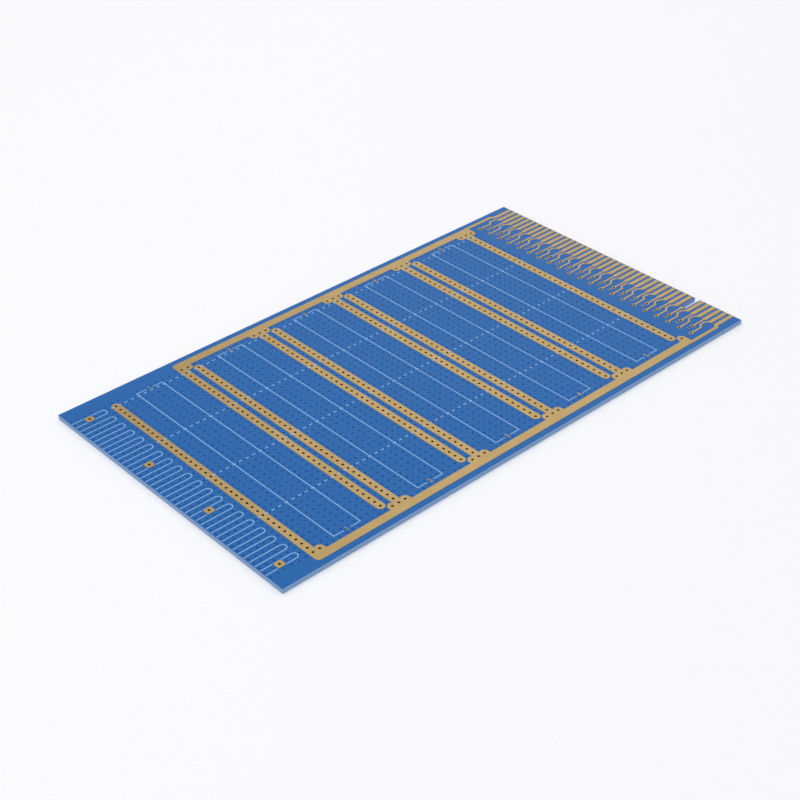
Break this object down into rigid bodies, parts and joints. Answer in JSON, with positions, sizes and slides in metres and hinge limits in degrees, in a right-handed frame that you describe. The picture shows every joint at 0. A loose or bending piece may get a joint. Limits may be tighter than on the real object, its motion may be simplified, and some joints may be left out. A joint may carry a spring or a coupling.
{
  "type": "stripboard",
  "caption": "Plug-in stripboard card with interleaved supply combs, gold-plated edge contacts on both faces, a polarising slot and printed component outlines.",
  "frame": {"origin": "under the middle of the card, on the plane that it rests on", "axes": "+X towards the connector edge, +Y towards the long edge away from the polarising slot, +Z out of the printed face"},
  "size_m": [0.2032, 0.1142, 0.0017],
  "materials": {
    "laminate": "blue epoxy-glass laminate, 1.6 mm, smooth with a faint weave",
    "plated_copper": "etched copper foil with gold plating, satin",
    "print": "white screen-printed epoxy ink"
  },
  "bodies": {
    "root": {"laminate": "laminate", "lower_comb_top": "plated_copper", "lower_comb_under": "plated_copper", "upper_comb_top": "plated_copper", "upper_comb_under": "plated_copper", "contacts_top": "plated_copper", "contacts_under": "plated_copper", "test_lands_top": "plated_copper", "test_lands_under": "plated_copper", "component_outlines": "print", "wire_loops": "print"}
  },
  "joints": []
}
